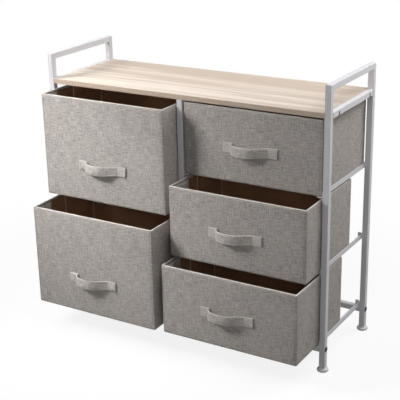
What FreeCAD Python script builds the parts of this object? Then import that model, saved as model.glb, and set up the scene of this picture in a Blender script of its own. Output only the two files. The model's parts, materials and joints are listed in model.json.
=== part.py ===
import FreeCAD, Part
import math
import os

from FreeCAD import Placement, Rotation, Vector

# Fabric drawer dresser: a welded frame of square steel tube carries two tall and three
# low fold-up fabric drawers under a board.  Millimetres, +Z up, front towards -Y.
# The origin is on the floor, midway along the whole outline with the drawers drawn
# out as they rest here.

# ---------------------------------------------------------------- driving sizes
# square steel tube of the frame
tube = 15.0
tube_wall = 1.2
tube_corner = 1.0             # flat along each long edge

# drawers
drawer_width = 370.0
drawer_depth = 258.0
low_drawer_height = 184.0
low_headroom = 8.0            # runner pitch beyond a low drawer's height
tall_headroom = 17.0          # runner pitch beyond a tall drawer's height
drawer_corner = 3.0           # flat along each upright corner
drawn_out = {                 # how far each drawer stands open at rest
    "upper_left": 60.5,
    "lower_left": 126.5,
    "upper_right": 0.0,
    "middle_right": 77.5,
    "lower_right": 121.5,
}

# layers of a drawer wall, from outside to inside
cover_cloth = 1.0
stiffener_board = 2.4
lining_cloth = 0.8
layer_gap = 0.2
hem_drop = 20.0               # depth to which the cover turns over the rim
fold_gap = 3.0                # between the two halves of a folding side
base_board = 3.0
base_board_play = 1.0

# strap handle sewn to a drawer front
strap_length = 145.0
strap_width = 25.0
strap_patch = 25.0            # length sewn down at each end
strap_cloth = 2.4
strap_rise = 19.0             # room for the fingers behind the crown of the loop
strap_entry_radius = 18.0
low_strap_height = 87.0       # middle of the strap above the drawer's underside
tall_strap_height = 96.0

# angle runners
runner_sheet = 1.5
runner_leg = 14.0
runner_bend = 1.5             # inside radius of the long fold
stop_relief = 1.0             # between the long fold and the stop tab

# running clearances
side_clearance = 2.25         # drawer side to upright leg
slide_clearance = 0.3         # drawer underside to runner
stop_gap = 0.3                # back of a shut drawer to the stop tab
front_recess = 1.5            # shut drawer front behind the post fronts
stop_set_in = 6.7             # back of the stop tab to the back of the frame
board_gap = 4.2               # top low drawer to board

# heights and the board
crossbar_height = 53.0        # underside of the crossbars above the floor
board_thickness = 13.0
board_end_clearance = 0.3
board_edge_round = 0.8
handle_rise = 65.0            # board top to the top of the handle bars

# frame bolts and the nut blocks that they enter
bolt_diameter = 6.0
bolt_length = 30.0
bolt_head_diameter = 14.0
bolt_head_height = 2.4
nut_block_length = 14.0
wall_hole_play = 0.2          # on the radius, in tube walls
thread_play = 0.05            # on the radius, in nut blocks and in wood

# wood screws of the board
screw_diameter = 4.0
screw_length = 25.0
screw_head_diameter = 8.0
screw_head_height = 2.6
screw_front_inset = 50.0      # from the front of the frame
screw_rear_inset = 34.0       # from the back of the frame
screw_drop = 8.5              # below the top of the board
pilot_spare = 0.5             # pilot hole beyond the screw tip
driver_slot_width = 6.0       # in the outer wall of a board rail
driver_mouth_width = 10.0     # where that slot runs out through the underside
driver_mouth_height = 2.5

# glides in the post ends
foot_diameter = 29.0
foot_height = 11.0
foot_rim_height = 8.5         # its widest line is halfway up this rim
foot_rim_slope = 4.25         # from the underside out to the widest line
foot_top_diameter = 18.0
plug_length = 18.0

# ---------------------------------------------------------------- worked out from them
bay_width = drawer_width + 2 * (side_clearance + runner_sheet)
overall_width = 3 * tube + 2 * bay_width
overall_depth = front_recess + drawer_depth + stop_gap + runner_sheet + stop_set_in
inner_face = overall_width / 2 - tube      # inner face of a side frame
middle_face = tube / 2                     # side face of the middle frame
tube_bore = tube - 2 * tube_wall

lowest_runner = crossbar_height + tube
low_pitch = low_drawer_height + low_headroom
tall_pitch = low_pitch * 3 / 2
tall_drawer_height = tall_pitch - tall_headroom
runner_seat = runner_sheet + slide_clearance

board_bottom = lowest_runner + 2 * low_pitch + runner_seat + low_drawer_height + board_gap
board_top = board_bottom + board_thickness
overall_height = board_top + handle_rise
rail_level = board_top - tube / 2
crossbar_level = crossbar_height + tube / 2
screw_level = board_top - screw_drop

strap_reach = strap_rise + strap_cloth
farthest_front = front_recess - max(drawn_out.values()) - strap_reach
foot_overhang = (foot_diameter - tube) / 2
front = -(farthest_front + overall_depth + foot_overhang) / 2   # front faces of the posts
back = front + overall_depth
shut_front = front + front_recess
stop_face = shut_front + drawer_depth + stop_gap
runner_end = stop_face + runner_sheet
post_lines = {"front": front + tube / 2, "rear": back - tube / 2}

wall_to_board = cover_cloth + layer_gap
wall_to_lining = wall_to_board + stiffener_board + layer_gap
wall_to_hem = wall_to_lining + lining_cloth + layer_gap
wall_total = wall_to_hem + cover_cloth
lining_floor = cover_cloth + layer_gap
base_board_floor = lining_floor + lining_cloth
stiffener_inset = wall_to_board + drawer_corner   # ends of the stiffeners, clear of the corners

runner_levels = {
    "upper_left": lowest_runner + tall_pitch,
    "lower_left": lowest_runner,
    "upper_right": lowest_runner + 2 * low_pitch,
    "middle_right": lowest_runner + low_pitch,
    "lower_right": lowest_runner,
}
sides = {"left": -1, "right": 1}
up = Vector(0, 0, 1)


# ---------------------------------------------------------------- shared shapes
def block(low, high):
    size = high - low
    return Part.makeBox(size.x, size.y, size.z, low)


def edges_along(shape, direction):
    """Straight edges parallel to a direction."""
    straight = [e for e in shape.Edges if isinstance(e.Curve, Part.Line)]
    return [e for e in straight if abs(e.tangentAt(e.FirstParameter).dot(direction)) > 0.999]


def line(a, b):
    return Part.LineSegment(a, b).toShape()


def arc(a, middle, b):
    return Part.Arc(a, middle, b).toShape()


def aimed(shape, start, direction):
    """Shape made along +Z from the origin, set down at start and aimed along a direction."""
    shape.Placement = Placement(start, Rotation(up, direction))
    return shape


def revolved(corners):
    """Solid turned about Z from the corners of its half section."""
    return Part.Face(Part.makePolygon(corners + corners[:1])).revolve(Vector(0, 0, 0), up, 360)


def headed_pin(diameter, length, head_diameter, head_height):
    """Round pin along -Z under a flat head, whose seat is at the origin."""
    corners = [
        Vector(0, 0, head_height), Vector(head_diameter / 2, 0, head_height), Vector(head_diameter / 2, 0, 0),
        Vector(diameter / 2, 0, 0), Vector(diameter / 2, 0, -length), Vector(0, 0, -length),
    ]
    return revolved(corners)


def driven(pin, seat, direction):
    """Headed pin driven in along a direction, with its head on the seat."""
    pin.Placement = Placement(seat, Rotation(-up, direction))
    return pin


def hole(start, direction, diameter, length):
    return Part.makeCylinder(diameter / 2, length, start, direction)


# ---------------------------------------------------------------- tubes of the frame
def straight_tube(start, end):
    """Square tube between the middles of its two end faces."""
    length = (end - start).Length
    outside = block(Vector(-tube / 2, -tube / 2, 0), Vector(tube / 2, tube / 2, length))
    outside = outside.makeChamfer(tube_corner, edges_along(outside, up))
    bore = block(Vector(-tube_bore / 2, -tube_bore / 2, 0), Vector(tube_bore / 2, tube_bore / 2, length))
    return aimed(outside.cut(bore), start, end - start)


def arch_block(x_middle, foot_level, top_level, inset):
    """Solid arch seen from the side: two legs and a bar, each face moved in by inset."""
    thick = tube - 2 * inset
    y_low, y_high = front + inset, back - inset
    top, under = top_level - inset, top_level - tube + inset
    corners = [
        (y_low, foot_level), (y_low, top), (y_high, top), (y_high, foot_level),
        (y_high - thick, foot_level), (y_high - thick, under),
        (y_low + thick, under), (y_low + thick, foot_level), (y_low, foot_level),
    ]
    outline = Part.makePolygon([Vector(x_middle - thick / 2, y, z) for y, z in corners])
    return Part.Face(outline).extrude(Vector(thick, 0, 0))


def tube_arch(x_middle, foot_level, top_level):
    """Two posts and a bar of square tube, mitred and welded at the corners."""
    outside = arch_block(x_middle, foot_level, top_level, 0)
    long_edges = edges_along(outside, up)
    long_edges += [e for e in edges_along(outside, Vector(0, 1, 0)) if e.CenterOfMass.z > foot_level + tube]
    outside = outside.makeChamfer(tube_corner, long_edges)
    return outside.cut(arch_block(x_middle, foot_level, top_level, tube_wall))


def side_frame(side):
    """Arch with a handle bar on top, drilled for the bolts of both crossbars."""
    frame = tube_arch(side * (inner_face + tube / 2), foot_height, overall_height)
    for y in post_lines.values():
        start = Vector(side * inner_face, y, crossbar_level)
        frame = frame.cut(hole(start, Vector(side, 0, 0), bolt_diameter + 2 * wall_hole_play, tube))
    return frame


def crossbar(y):
    """Bar between the side frames, drilled upright for the bolt of the middle frame."""
    bar = straight_tube(Vector(-inner_face, y, crossbar_level), Vector(inner_face, y, crossbar_level))
    return bar.cut(hole(Vector(0, y, crossbar_height), up, bolt_diameter + 2 * wall_hole_play, tube))


def board_rail(side):
    """Rail beside the end of the board, with two slots that let a driver reach the screws."""
    x = side * (inner_face + tube / 2)
    rail = straight_tube(Vector(x, front + tube, rail_level), Vector(x, back - tube, rail_level))
    for y in screw_lines():
        start = Vector(side * inner_face, y, screw_level)
        rail = rail.cut(hole(start, Vector(side, 0, 0), screw_diameter + 2 * wall_hole_play, tube_wall))
        rail = rail.cut(driver_slot(side, y))
    return rail


def driver_slot(side, y):
    """Slot in the outer wall, wider where it leaves by the underside."""
    x_low, x_high = sorted([side * (inner_face + tube_wall), side * overall_width / 2])
    under = board_top - tube
    slot = block(
        Vector(x_low, y - driver_slot_width / 2, under),
        Vector(x_high, y + driver_slot_width / 2, screw_level + driver_slot_width / 2),
    )
    mouth = block(
        Vector(x_low, y - driver_mouth_width / 2, under),
        Vector(x_high, y + driver_mouth_width / 2, under + driver_mouth_height),
    )
    return slot.fuse(mouth)


# ---------------------------------------------------------------- runners
def runner(face_x, inward, level):
    """Angle with its upright leg on a post and its flange under the drawer.

    The end of the flange is folded up as the stop for the drawer.  inward is +1 where
    the flange reaches towards +X.
    """
    fold = runner_bend + runner_sheet
    stop, end = stop_face - front, runner_end - front
    angle = Part.Face(angle_section(fold)).extrude(Vector(0, stop, 0))
    leg = block(Vector(0, stop, fold), Vector(runner_sheet, end, runner_leg))
    tab = block(Vector(fold + stop_relief, stop, 0), Vector(runner_leg, end, runner_leg))
    piece = angle.fuse([leg, tab]).removeSplitter()
    if inward < 0:
        piece = piece.mirror(Vector(0, 0, 0), Vector(1, 0, 0))
    piece.translate(Vector(face_x, front, level))
    return piece


def angle_section(fold):
    """Section of the angle from its outer corner: an upright leg, a fold and a flange."""
    middle = math.sqrt(0.5)
    corners = {
        "leg_outside": (0, fold), "flange_outside": (fold, 0), "flange_end_under": (runner_leg, 0),
        "flange_end_top": (runner_leg, runner_sheet), "flange_inside": (fold, runner_sheet),
        "leg_inside": (runner_sheet, fold), "leg_end_inside": (runner_sheet, runner_leg),
        "leg_end_outside": (0, runner_leg),
        "outer_fold": (fold * (1 - middle), fold * (1 - middle)),
        "inner_fold": (fold - runner_bend * middle, fold - runner_bend * middle),
    }
    at = {name: Vector(x, 0, z) for name, (x, z) in corners.items()}
    return Part.Wire([
        arc(at["leg_outside"], at["outer_fold"], at["flange_outside"]),
        line(at["flange_outside"], at["flange_end_under"]),
        line(at["flange_end_under"], at["flange_end_top"]),
        line(at["flange_end_top"], at["flange_inside"]),
        arc(at["flange_inside"], at["inner_fold"], at["leg_inside"]),
        line(at["leg_inside"], at["leg_end_inside"]),
        line(at["leg_end_inside"], at["leg_end_outside"]),
        line(at["leg_end_outside"], at["leg_outside"]),
    ])


# ---------------------------------------------------------------- board and fixings
def screw_lines():
    return [front + screw_front_inset, back - screw_rear_inset]


def top_board():
    """Board with rounded long edges and pilot holes for its screws."""
    half = inner_face - board_end_clearance
    board = block(Vector(-half, front, board_bottom), Vector(half, back, board_top))
    board = board.makeFillet(board_edge_round, edges_along(board, Vector(1, 0, 0)))
    depth = screw_length - tube_wall - board_end_clearance + pilot_spare
    for side in sides.values():
        for y in screw_lines():
            start = Vector(side * half, y, screw_level)
            board = board.cut(hole(start, Vector(-side, 0, 0), screw_diameter + 2 * thread_play, depth))
    return board


def board_screws():
    """Screws from inside the board rails into the ends of the board."""
    seat = inner_face + tube_wall
    return Part.makeCompound([
        driven(headed_pin(screw_diameter, screw_length, screw_head_diameter, screw_head_height),
               Vector(side * seat, y, screw_level), Vector(-side, 0, 0))
        for side in sides.values() for y in screw_lines()
    ])


def frame_bolt():
    return headed_pin(bolt_diameter, bolt_length, bolt_head_diameter, bolt_head_height)


def crossbar_bolts():
    """Bolts through the posts into the ends of the crossbars."""
    return Part.makeCompound([
        driven(frame_bolt(), Vector(side * overall_width / 2, y, crossbar_level), Vector(-side, 0, 0))
        for side in sides.values() for y in post_lines.values()
    ])


def middle_frame_bolts():
    """Bolts up through the crossbars into the legs of the middle frame."""
    return Part.makeCompound([
        driven(frame_bolt(), Vector(0, y, crossbar_height), up) for y in post_lines.values()
    ])


def nut_block(mouth, inward):
    """Tapped block welded inside the end of a tube."""
    half = tube_bore / 2
    nut = block(Vector(-half, -half, 0), Vector(half, half, nut_block_length))
    nut = nut.cut(Part.makeCylinder(bolt_diameter / 2 + thread_play, nut_block_length))
    return aimed(nut, mouth, inward)


def crossbar_nut_blocks():
    return Part.makeCompound([
        nut_block(Vector(side * inner_face, y, crossbar_level), Vector(-side, 0, 0))
        for side in sides.values() for y in post_lines.values()
    ])


def middle_frame_nut_blocks():
    return Part.makeCompound([nut_block(Vector(0, y, lowest_runner), up) for y in post_lines.values()])


def foot(x, y):
    """Round glide whose plug grips the inside of the post."""
    flat = foot_diameter / 2 - foot_rim_slope
    disc = revolved([
        Vector(0, 0, 0), Vector(flat, 0, 0), Vector(foot_diameter / 2, 0, foot_rim_height / 2),
        Vector(flat, 0, foot_rim_height), Vector(foot_top_diameter / 2, 0, foot_height),
        Vector(0, 0, foot_height),
    ])
    half = tube_bore / 2
    plug = block(Vector(-half, -half, foot_height), Vector(half, half, foot_height + plug_length))
    glide = disc.fuse(plug)
    glide.translate(Vector(x, y, 0))
    return glide


def feet():
    """A glide in the end of each post."""
    lines = [(side * (inner_face + tube / 2), y) for side in sides.values() for y in post_lines.values()]
    return Part.makeCompound([foot(x, y) for x, y in lines])


# ---------------------------------------------------------------- drawers
def drawer_height(drawer):
    if drawer.endswith("left"):
        return tall_drawer_height
    return low_drawer_height


def drawer_corner_point(drawer):
    """Left front bottom corner of a drawer where it rests."""
    left_edge = middle_face + runner_sheet + side_clearance
    if drawer.endswith("left"):
        left_edge = -left_edge - drawer_width
    return Vector(left_edge, shut_front - drawn_out[drawer], runner_levels[drawer] + runner_seat)


def nested(inset, z_low, z_high, corner=0.0):
    """Block inside the outline of a drawer, each upright face moved in by inset."""
    shape = block(Vector(inset, inset, z_low), Vector(drawer_width - inset, drawer_depth - inset, z_high))
    if corner > 0:
        shape = shape.makeChamfer(corner, edges_along(shape, up))
    return shape


def drawer_cover(height):
    """Outer cloth: floor, walls, and a hem turned over the rim and down inside."""
    rim = height - cover_cloth
    outside = nested(0, 0, height, drawer_corner)
    inner_corner = drawer_corner - (2 - math.sqrt(2)) * cover_cloth
    room = nested(cover_cloth, cover_cloth, rim, inner_corner)
    mouth = nested(wall_total, rim, height)
    hem = nested(wall_to_hem, height - hem_drop, rim).cut(nested(wall_total, height - hem_drop, rim))
    return outside.cut(room).cut(mouth).fuse(hem).removeSplitter()


def drawer_lining(height):
    """Inner cloth: an open box whose edge is caught under the hem."""
    rim = height - cover_cloth - layer_gap
    outside = nested(wall_to_lining, lining_floor, rim)
    return outside.cut(nested(wall_to_lining + lining_cloth, base_board_floor, rim))


def end_stiffeners(height):
    """Boards in the front and the rear wall."""
    rim = height - cover_cloth - layer_gap
    boards = []
    for y in (wall_to_board, drawer_depth - wall_to_board - stiffener_board):
        boards.append(block(
            Vector(stiffener_inset, y, wall_to_board),
            Vector(drawer_width - stiffener_inset, y + stiffener_board, rim),
        ))
    return Part.makeCompound(boards)


def side_stiffeners(height):
    """Boards in the side walls, each in two halves so that the side folds in."""
    rim = height - cover_cloth - layer_gap
    half = (drawer_depth - fold_gap) / 2
    halves = [(stiffener_inset, half), (half + fold_gap, drawer_depth - stiffener_inset)]
    boards = []
    for x in (wall_to_board, drawer_width - wall_to_board - stiffener_board):
        for y_low, y_high in halves:
            low = Vector(x, y_low, wall_to_board)
            boards.append(block(low, Vector(x + stiffener_board, y_high, rim)))
    return Part.makeCompound(boards)


def drawer_base_board():
    """Loose board that keeps the drawer unfolded."""
    inset = wall_to_lining + lining_cloth + base_board_play
    return nested(inset, base_board_floor, base_board_floor + base_board)


def handle_strap(drawer):
    """Webbing sewn down flat at both ends, standing off as a loop between them.

    Seen from above, the loop leaves each patch on an entry arc and joins the crown arc
    with no corner.  Both arcs turn through the same angle.
    """
    half_span = strap_length / 2 - strap_patch
    turn = 2 * math.atan(strap_rise / half_span)
    crown_radius = half_span / math.sin(turn) - strap_entry_radius
    height = tall_strap_height if drawer.endswith("left") else low_strap_height
    back_face = strap_half(0, half_span, turn, crown_radius)
    front_face = strap_half(strap_cloth, half_span, turn, crown_radius)
    edges = strap_edges(back_face) + strap_edges(front_face)
    for side in (-1, 1):
        edges.append(line(back_face["end"][side], front_face["end"][side]))
    strap = Part.Face(Part.Wire(Part.__sortEdges__(edges))).extrude(Vector(0, 0, strap_width))
    strap.translate(Vector(drawer_width / 2, 0, height - strap_width / 2))
    return strap


def strap_half(off, half_span, turn, crown_radius):
    """Points of one face of the strap, off millimetres out from its back face."""
    entry = strap_entry_radius - off
    crown = crown_radius + off
    entry_centre_y = -strap_entry_radius
    crown_centre_y = crown_radius - strap_rise
    points = {"crown": Vector(0, crown_centre_y - crown, 0)}
    for name, x, y in (
        ("end", strap_length / 2, -off),
        ("sewn", half_span, -off),
        ("entry", half_span - entry * math.sin(turn / 2), entry_centre_y + entry * math.cos(turn / 2)),
        ("join", crown * math.sin(turn), crown_centre_y - crown * math.cos(turn)),
        ("swell", crown * math.sin(turn / 2), crown_centre_y - crown * math.cos(turn / 2)),
    ):
        points[name] = {side: Vector(side * x, y, 0) for side in (-1, 1)}
    return points


def strap_edges(face):
    """Edges of one face of the strap, from end to end."""
    edges = []
    for side in (-1, 1):
        edges.append(line(face["end"][side], face["sewn"][side]))
        edges.append(arc(face["sewn"][side], face["entry"][side], face["join"][side]))
        edges.append(arc(face["join"][side], face["swell"][side], face["crown"]))
    return edges


def drawer_pieces(drawer):
    """Pieces of one drawer, by name, where the drawer rests."""
    height = drawer_height(drawer)
    pieces = {
        "cover": drawer_cover(height),
        "lining": drawer_lining(height),
        "end_stiffeners": end_stiffeners(height),
        "side_stiffeners": side_stiffeners(height),
        "base_board": drawer_base_board(),
        "handle_strap": handle_strap(drawer),
    }
    for shape in pieces.values():
        shape.translate(drawer_corner_point(drawer))
    return pieces


# ---------------------------------------------------------------- assembly
def frame_pieces():
    pieces = {
        "middle_frame": tube_arch(0, lowest_runner, board_bottom),
        "top_board": top_board(),
        "board_screws": board_screws(),
        "crossbar_bolts": crossbar_bolts(),
        "crossbar_nut_blocks": crossbar_nut_blocks(),
        "middle_frame_bolts": middle_frame_bolts(),
        "middle_frame_nut_blocks": middle_frame_nut_blocks(),
        "feet": feet(),
    }
    for name, side in sides.items():
        pieces["side_frame_" + name] = side_frame(side)
        pieces["board_rail_" + name] = board_rail(side)
    for end, y in post_lines.items():
        pieces["crossbar_" + end] = crossbar(y)
    for drawer, level in runner_levels.items():
        side = sides[drawer.split("_")[1]]
        pieces["runner_" + drawer + "_outer"] = runner(side * inner_face, -side, level)
        pieces["runner_" + drawer + "_inner"] = runner(side * middle_face, side, level)
    return pieces


def main():
    os.makedirs("parts", exist_ok=True)
    nodes = frame_pieces()
    for drawer in drawn_out:
        for piece, shape in drawer_pieces(drawer).items():
            nodes["drawer_" + drawer + "_" + piece] = shape
    for node, shape in nodes.items():
        shape.exportStep("parts/" + node + ".step")


main()
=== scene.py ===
import json
import math

import bpy
from mathutils import Matrix, Vector, noise
from mathutils.geometry import interpolate_bezier

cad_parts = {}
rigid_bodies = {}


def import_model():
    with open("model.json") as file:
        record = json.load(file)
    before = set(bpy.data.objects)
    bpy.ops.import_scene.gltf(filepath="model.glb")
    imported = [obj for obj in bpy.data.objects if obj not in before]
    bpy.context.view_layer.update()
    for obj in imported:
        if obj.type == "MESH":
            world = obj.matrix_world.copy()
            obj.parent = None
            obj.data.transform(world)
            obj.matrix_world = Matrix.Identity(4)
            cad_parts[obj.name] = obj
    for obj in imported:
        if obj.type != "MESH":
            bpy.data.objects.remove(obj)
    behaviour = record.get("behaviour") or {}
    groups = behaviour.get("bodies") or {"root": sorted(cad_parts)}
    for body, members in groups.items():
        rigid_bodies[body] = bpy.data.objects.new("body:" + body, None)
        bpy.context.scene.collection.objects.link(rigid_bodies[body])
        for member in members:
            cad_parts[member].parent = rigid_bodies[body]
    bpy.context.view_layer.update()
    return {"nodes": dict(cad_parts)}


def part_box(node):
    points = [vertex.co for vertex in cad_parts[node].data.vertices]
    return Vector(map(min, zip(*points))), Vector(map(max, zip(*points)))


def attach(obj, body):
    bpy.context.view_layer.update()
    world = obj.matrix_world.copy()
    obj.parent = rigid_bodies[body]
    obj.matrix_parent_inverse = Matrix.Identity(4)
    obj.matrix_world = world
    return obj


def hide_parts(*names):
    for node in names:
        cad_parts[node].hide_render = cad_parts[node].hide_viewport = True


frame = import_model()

bl_info = {
    "name": "Fabric drawer dresser",
    "version": (1, 0, 0),
    "blender": (4, 5, 0),
    "location": "View3D > Sidebar > Dresser",
    "description": "Dresses the steel frame, board and fabric drawers of a dresser",
    "category": "Object",
}

MM = 0.001


def node_box(node):
    low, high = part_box(node)
    return Vector(low), Vector(high)


def srgb(red, green, blue):
    """Linear colour of a swatch given as 0 to 255 values."""
    swatch = [v / 255 for v in (red, green, blue)]
    return tuple(v / 12.92 if v <= 0.04045 else ((v + 0.055) / 1.055) ** 2.4 for v in swatch)


def shade(colour, amount):
    """A colour made darker, or lighter where the amount is over 1."""
    return tuple(min(1, c * amount) for c in colour)


def paler(colour, amount):
    """A colour part of the way to white."""
    return tuple(c + (1 - c) * amount for c in colour)


def bell(distance, width):
    """1 at no distance, falling off smoothly over about a width."""
    return math.exp(-((distance / width) ** 2))


def spread(start, end, steps):
    """Numbers from start to end in even steps, both ends among them."""
    return [start + (end - start) * i / steps for i in range(steps + 1)]


# ---------------------------------------------------------------- what can be set
def length(name, description, default):
    return bpy.props.FloatProperty(
        name=name, description=description, default=default, unit="LENGTH", precision=5)


def share(name, description, default):
    return bpy.props.FloatProperty(
        name=name, description=description, default=default, min=0, max=1, subtype="FACTOR")


def power(name, description, default):
    return bpy.props.FloatProperty(
        name=name, description=description, default=default, min=0, unit="POWER")


def swatch(name, description, default):
    return bpy.props.FloatVectorProperty(
        name=name, description=description, default=default, size=3, min=0, max=1,
        subtype="COLOR")


class DrawerSizes(bpy.types.PropertyGroup):
    corner: length("Corner", "Radius of the upright corners of a drawer", 3.6 * MM)
    foot_round: length("Foot rounding", "Radius round the underside of a drawer", 2.5 * MM)
    cloth: length("Cloth", "Thickness of the cover cloth", 1.0 * MM)
    wall: length("Wall", "Whole thickness of a drawer wall at the rim", 5.8 * MM)
    lining_inset: length("Lining inset", "From the outer face to the lining's inner face", 4.6 * MM)
    lining_cloth: length("Lining cloth", "Thickness of the lining", 0.8 * MM)
    lining_floor: length("Lining floor", "Height of the lining over the underside", 2.0 * MM)
    hem: length("Hem", "Depth to which the cover turns down inside", 6.5 * MM)
    rim_seam: length("Rim seam", "From the rim down to its row of stitches", 4.5 * MM)
    puff: length("Puff", "How far the cloth stands out in the middle of a wall", 1.3 * MM)
    ripple: length("Ripple", "Height of the small unevenness of the cloth", 0.8 * MM)


class StrapSizes(bpy.types.PropertyGroup):
    patch: length("Patch", "Length sewn down at each end", 25.0 * MM)
    thickness: length("Thickness", "Thickness of the doubled strap", 2.8 * MM)
    droop: length("Droop", "How far the middle of the loop hangs down", 3.0 * MM)
    edge_seam: length("Edge seam", "From the edge to the row of stitches along it", 3.0 * MM)


class StitchSizes(bpy.types.PropertyGroup):
    stitch: length("Stitch", "Length of one stitch", 2.4 * MM)
    pitch: length("Pitch", "From one stitch to the next", 3.3 * MM)
    thread: length("Thread", "Thickness of the thread", 0.85 * MM)


class FixingSizes(bpy.types.PropertyGroup):
    bolt_head: length("Bolt head", "Diameter of a frame bolt's head", 14.0 * MM)
    bolt_dome: length("Bolt dome", "Height of a frame bolt's head", 2.4 * MM)
    bolt_shank: length("Bolt shank", "Diameter of a frame bolt", 6.0 * MM)
    bolt_length: length("Bolt length", "Length of a frame bolt under its head", 30.0 * MM)
    screw_head: length("Screw head", "Diameter of a board screw's head", 8.0 * MM)
    screw_dome: length("Screw dome", "Height of a board screw's head", 2.6 * MM)
    screw_shank: length("Screw shank", "Diameter of a board screw", 4.0 * MM)
    screw_length: length("Screw length", "Length of a board screw under its head", 25.0 * MM)
    foot: length("Foot", "Diameter of a glide", 29.0 * MM)
    foot_height: length("Foot height", "Height of a glide under its post", 11.0 * MM)
    plug: length("Plug", "Length of the ribbed plug of a glide", 18.0 * MM)
    bead: length("Weld bead", "Width of a weld bead", 2.6 * MM)


class Colours(bpy.types.PropertyGroup):
    coat: swatch("Powder coat", "Light grey coat of the steel frame", srgb(213, 211, 214))
    # painted shade: dark colour inside the board rails, where the slots show their hollow
    shaded_bore: swatch("Tube inside", "Bare inside of the board rails", srgb(40, 37, 36))
    cloth: swatch("Cloth", "Light threads of the cover cloth", srgb(197, 190, 184))
    cloth_dark: swatch("Dark threads", "Dark threads of the cover cloth", srgb(141, 135, 130))
    lining: swatch("Lining", "Dark cloth inside the drawers", srgb(157, 120, 91))
    tape: swatch("Seam tape", "Tape over the seams of the lining", srgb(206, 182, 156))
    thread: swatch("Thread", "Sewing thread", srgb(226, 220, 210))
    wood: swatch("Wood", "Pale ground of the board", srgb(217, 206, 194))
    wood_dark: swatch("Grain", "Darker grain of the board", srgb(184, 165, 148))
    edge: swatch("Board edge", "Band along the edges of the board", srgb(194, 175, 157))
    black: swatch("Fixings", "Bolts and screws", srgb(44, 43, 45))
    steel: swatch("Bare steel", "Zinc plated nut blocks", srgb(176, 178, 182))
    foot: swatch("Feet", "Plastic of the glides", srgb(214, 214, 210))
    card: swatch("Card", "Stiffeners inside the drawer walls", srgb(158, 132, 102))


class StageSettings(bpy.types.PropertyGroup):
    ambient: share("Ambient", "Level of the even light", 0.02)
    key: power("Key", "The narrow light on the left column", 1.3)
    wide_key: power("Wide key", "The open light at the left of the front", 6.8)
    high_key: power("High key", "The higher light further round to the left", 8.1)
    overhead: power("Overhead", "The soft light above the left end", 6.5)
    side_fill: power("Side fill", "The soft light high at the right", 11.0)
    rear_fill: power("Rear fill", "The soft light behind the right end", 20.0)
    front_fill: power("Front fill", "The low light at the right of the front", 5.7)
    floor_shade: share("Floor shade", "How strongly the floor shows the shadow", 0.14)


# ---------------------------------------------------------------- node trees
class Flow:
    """A socket of a node tree. Sums, products and comparisons on it add Math nodes."""

    def __init__(self, tree, socket):
        self.tree, self.socket = tree, socket

    def __add__(self, other):
        return self.tree.math("ADD", self, other)

    def __sub__(self, other):
        return self.tree.math("SUBTRACT", self, other)

    def __rsub__(self, other):
        return self.tree.math("SUBTRACT", other, self)

    def __mul__(self, other):
        return self.tree.math("MULTIPLY", self, other)

    def __gt__(self, other):
        return self.tree.math("GREATER_THAN", self, other)

    __radd__, __rmul__ = __add__, __mul__

    def part(self, index):
        """One of the three numbers of a vector."""
        return self.tree.node("ShaderNodeSeparateXYZ", None, {0: self}, out=index)


class Tree:
    """A node tree under construction. All its nodes come from node()."""

    def __init__(self, tree):
        self.tree = tree
        tree.nodes.clear()

    def node(self, kind, settings=None, inputs=None, out=0):
        """Adds a node: first its settings, then the values or flows of its sockets."""
        made = self.tree.nodes.new(kind)
        for key, value in (settings or {}).items():
            setattr(made, key, value)
        for key, value in (inputs or {}).items():
            socket = made.inputs[key]
            if isinstance(value, Flow):
                self.tree.links.new(value.socket, socket)
            else:
                socket.default_value = (*value, 1) if socket.type == "RGBA" else value
        return Flow(self, made.outputs[out]) if made.outputs else None

    def math(self, operation, *terms):
        return self.node("ShaderNodeMath", {"operation": operation}, dict(enumerate(terms)))

    def seen_white(self):
        """1 for rays that show the background, by eye, in a mirror or through glass."""
        camera, glossy, through = (
            self.node("ShaderNodeLightPath", out="Is %s Ray" % kind)
            for kind in ("Camera", "Glossy", "Transmission"))
        return self.math("MAXIMUM", self.math("MAXIMUM", camera, glossy), through)


class Finish(Tree):
    """A material under construction."""

    def __init__(self, name):
        self.material = bpy.data.materials.new(name)
        self.material.use_nodes = True
        super().__init__(self.material.node_tree)

    def mix(self, factor, first, second):
        """Colour between two colours."""
        return self.node(
            "ShaderNodeMix", {"data_type": "RGBA"}, {0: factor, 6: first, 7: second}, out=2)

    def noise(self, place, scale, detail=2.0, roughness=0.5, distortion=0.0):
        """Noise from 0 to 1, with this many spots in a metre along each axis."""
        if not isinstance(scale, tuple):
            scale = (scale, scale, scale)
        spots = self.node("ShaderNodeMapping", None, {"Vector": place, "Scale": scale})
        return self.node("ShaderNodeTexNoise", None, {
            "Vector": spots, "Scale": 1.0, "Detail": detail, "Roughness": roughness,
            "Distortion": distortion})

    def smooth_step(self, value, low, high):
        return self.node("ShaderNodeMapRange", {"interpolation_type": "SMOOTHSTEP"},
                         {"Value": value, "From Min": low, "From Max": high})

    def bump(self, height, strength, distance):
        return self.node("ShaderNodeBump", None, {
            "Height": height, "Strength": strength, "Distance": distance})

    def objects(self):
        return self.node("ShaderNodeTexCoord", out="Object")

    def own_map(self):
        return self.node("ShaderNodeUVMap", {"uv_map": CLOTH_MAP})

    def done(self, **inputs):
        """Ends the tree in a Principled shader with these sockets."""
        sockets = {key.replace("_", " "): value for key, value in inputs.items()}
        return self.surface(self.node("ShaderNodeBsdfPrincipled", None, sockets))

    def surface(self, shader):
        self.node("ShaderNodeOutputMaterial", None, {"Surface": shader})
        return self.material


# ---------------------------------------------------------------- finishes
CLOTH_MAP = "cloth"
SEAM = "seam"   # from RIM on a folded edge, where a painted highlight is laid, over 0 on plain cloth, to 1 in the bottom of a seam, where painted shade darkens it
RIM = -1


def weave_height(finish, place, pitch):
    """Crowns of a plain weave, from -1 to 1."""
    turns = math.pi / pitch
    return finish.math("SINE", place.part(0) * turns) * finish.math("SINE", place.part(1) * turns)


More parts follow.
